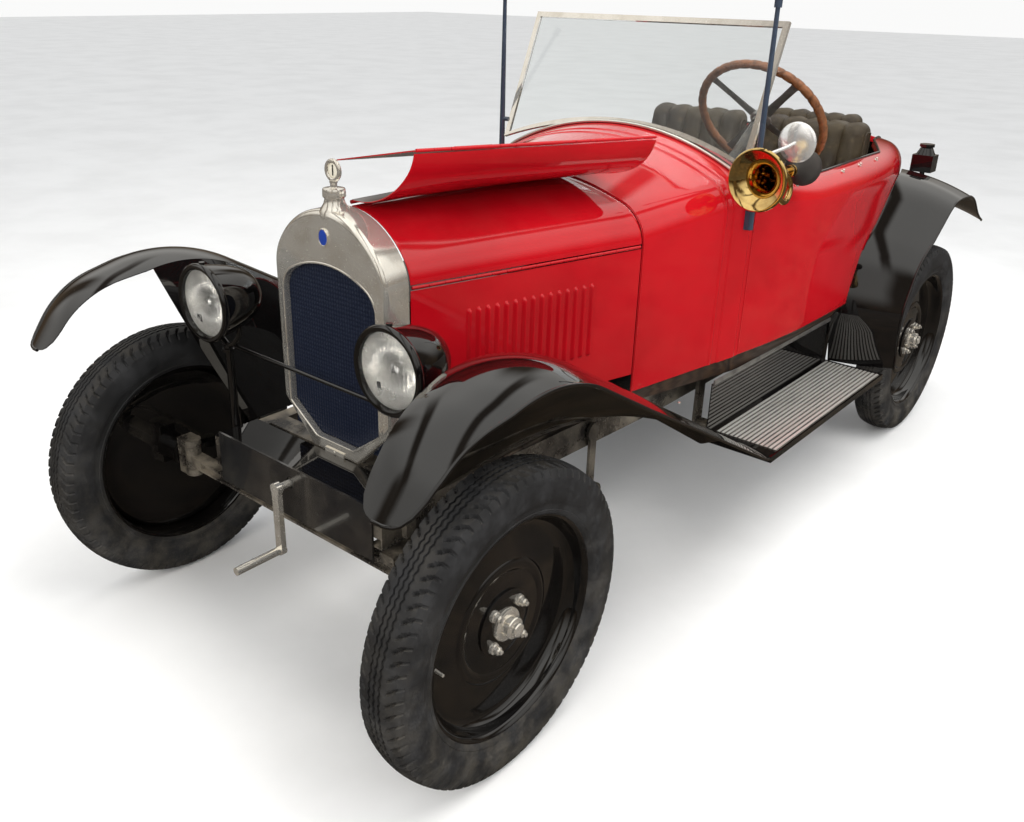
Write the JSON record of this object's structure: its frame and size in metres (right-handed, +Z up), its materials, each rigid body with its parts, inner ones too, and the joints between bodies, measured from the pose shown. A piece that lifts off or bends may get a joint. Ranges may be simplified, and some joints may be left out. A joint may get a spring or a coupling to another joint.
{
  "type": "vintage open tourer car",
  "caption": "Small open vintage tourer with disc wheels, swept wings, running boards, folding bonnet, steering linkage and a cloverleaf seat plan.",
  "frame": {"origin": "centre of the bounding box in plan, on the ground", "axes": "+X is the car's left side, -Y is its front, +Z is up"},
  "size_m": [1.38, 3.2175, 1.5499],
  "materials": {
    "black_metal": "gloss black paint",
    "engine_iron": "dull cast iron",
    "spring_steel": "satin black",
    "nickel": "polished nickel plate",
    "core": "satin blue-black",
    "red_paint": "gloss red enamel",
    "dash": "satin black",
    "floor_wood": "dark worn boards",
    "leather": "worn olive-brown leather",
    "glass": "clear glass",
    "post_steel": "dark blue-grey paint",
    "wing_black": "gloss black enamel",
    "tread_aluminium": "scuffed ribbed aluminium",
    "plate_black": "satin black",
    "horn_brass": "polished brass",
    "bulb_rubber": "dull black rubber",
    "exhaust_steel": "dull dark steel",
    "lever_steel": "bare steel",
    "wheel_brown": "brown moulded rim",
    "tyre": "dark grey rubber",
    "disc_black": "gloss black enamel",
    "handle_steel": "dull plated steel"
  },
  "bodies": {
    "chassis": {"chassis_frame": "black_metal", "engine": "engine_iron", "springs": "spring_steel", "front_axle": "black_metal", "rear_axle": "black_metal", "steering_column": "black_metal", "radiator_shell": "nickel", "radiator_core": "core", "radiator_cap": "nickel", "bonnet_top_left": "red_paint", "scuttle": "red_paint", "dashboard": "dash", "body_tub": "red_paint", "floorboards": "floor_wood", "seat_left": "leather", "seat_right": "leather", "seat_rear": "leather", "windscreen_frame": "nickel", "windscreen_glass": "glass", "windscreen_posts": "post_steel", "front_wing_left": "wing_black", "front_wing_right": "wing_black", "rear_wing_left": "wing_black", "rear_wing_right": "wing_black", "running_boards": "wing_black", "board_treads": "tread_aluminium", "aprons": "wing_black", "headlamps": "wing_black", "headlamp_glass": "glass", "number_plate": "plate_black", "horn": "horn_brass", "horn_bulb": "bulb_rubber", "mirror": "nickel", "rear_lamp": "wing_black", "exhaust": "exhaust_steel", "levers": "lever_steel"},
    "steer_left": {"knuckle_left": "black_metal"},
    "steer_right": {"knuckle_right": "black_metal"},
    "track_rod_body": {"track_rod": "black_metal"},
    "drag_link_body": {"drag_link": "black_metal"},
    "drop_arm_body": {"drop_arm": "black_metal"},
    "hand_wheel": {"steering_wheel": "wheel_brown"},
    "front_left_wheel": {"tyre_front_left": "tyre", "wheel_front_left": "disc_black"},
    "front_right_wheel": {"tyre_front_right": "tyre", "wheel_front_right": "disc_black"},
    "rear_left_wheel": {"tyre_rear_left": "tyre", "wheel_rear_left": "disc_black"},
    "rear_right_wheel": {"tyre_rear_right": "tyre", "wheel_rear_right": "disc_black"},
    "bonnet_flap_left": {"bonnet_side_left": "red_paint"},
    "bonnet_lid_right": {"bonnet_top_right": "red_paint"},
    "bonnet_flap_right": {"bonnet_side_right": "red_paint"},
    "door": {"door_right": "red_paint"},
    "handle": {"starting_handle": "handle_steel"}
  },
  "joints": [
    {"name": "left_steer", "type": "hinge", "parent": "chassis", "child": "steer_left", "pos_m": [0.52, -1.26, 0.3575], "axis": [0, 0, 1], "range_deg": [-25, 25]},
    {"name": "right_steer", "type": "hinge", "parent": "chassis", "child": "steer_right", "pos_m": [-0.52, -1.26, 0.3575], "axis": [0, 0, 1], "range_deg": [-25, 25]},
    {"name": "track_rod_swing", "type": "hinge", "parent": "steer_left", "child": "track_rod_body", "pos_m": [0.52, -1.12, 0.297], "axis": [0, 0, 1], "range_deg": [-25, 25]},
    {"name": "drag_link_swing", "type": "hinge", "parent": "steer_left", "child": "drag_link_body", "pos_m": [0.355, -1.26, 0.418], "axis": [0, 0, 1], "range_deg": [-25, 25]},
    {"name": "drop_arm_swing", "type": "hinge", "parent": "chassis", "child": "drop_arm_body", "pos_m": [0.342, -0.58, 0.475], "axis": [-1, 0, 0], "range_deg": [-23, 23]},
    {"name": "hand_wheel_turn", "type": "hinge", "parent": "chassis", "child": "hand_wheel", "pos_m": [0.225, 0.44, 1.19], "axis": [0, 0.8192, 0.5736], "range_deg": [-300, 300]},
    {"name": "front_left_spin", "type": "hinge", "parent": "steer_left", "child": "front_left_wheel", "pos_m": [0.595, -1.26, 0.3575], "axis": [1, 0, 0], "continuous": true},
    {"name": "front_right_spin", "type": "hinge", "parent": "steer_right", "child": "front_right_wheel", "pos_m": [-0.595, -1.26, 0.3575], "axis": [1, 0, 0], "continuous": true},
    {"name": "rear_left_spin", "type": "hinge", "parent": "chassis", "child": "rear_left_wheel", "pos_m": [0.595, 1.14, 0.3575], "axis": [1, 0, 0], "continuous": true},
    {"name": "rear_right_spin", "type": "hinge", "parent": "chassis", "child": "rear_right_wheel", "pos_m": [-0.595, 1.14, 0.3575], "axis": [1, 0, 0], "continuous": true},
    {"name": "flap_left_swing", "type": "hinge", "parent": "chassis", "child": "bonnet_flap_left", "pos_m": [0.1885, -1.106, 0.955], "axis": [-0.2375, -0.9714, 0], "range_deg": [0, 23]},
    {"name": "lid_right_turn", "type": "hinge", "parent": "chassis", "child": "bonnet_lid_right", "pos_m": [0, -1.106, 1.116], "axis": [0, -1, 0], "range_deg": [0, 187]},
    {"name": "flap_right_swing", "type": "hinge", "parent": "bonnet_lid_right", "child": "bonnet_flap_right", "pos_m": [0.20672, -1.106, 1.25283], "axis": [0.2357, 0.9714, -0.0289], "range_deg": [0, 108]},
    {"name": "door_swing", "type": "hinge", "parent": "chassis", "child": "door", "pos_m": [-0.471, 0.0335, 0.7], "axis": [0, 0, 1], "range_deg": [0, 75]},
    {"name": "handle_turn", "type": "hinge", "parent": "chassis", "child": "handle", "pos_m": [0, -1.26, 0.49], "axis": [0, 1, 0], "continuous": true}
  ],
  "couplings": [
    {"joint": "right_steer", "follows": "left_steer", "ratio": 1},
    {"joint": "track_rod_swing", "follows": "left_steer", "ratio": -1},
    {"joint": "drag_link_swing", "follows": "left_steer", "ratio": -1},
    {"joint": "drop_arm_swing", "follows": "left_steer", "ratio": 0.9117},
    {"joint": "hand_wheel_turn", "follows": "left_steer", "ratio": 12},
    {"joint": "flap_right_swing", "follows": "lid_right_turn", "ratio": 0.57754}
  ]
}
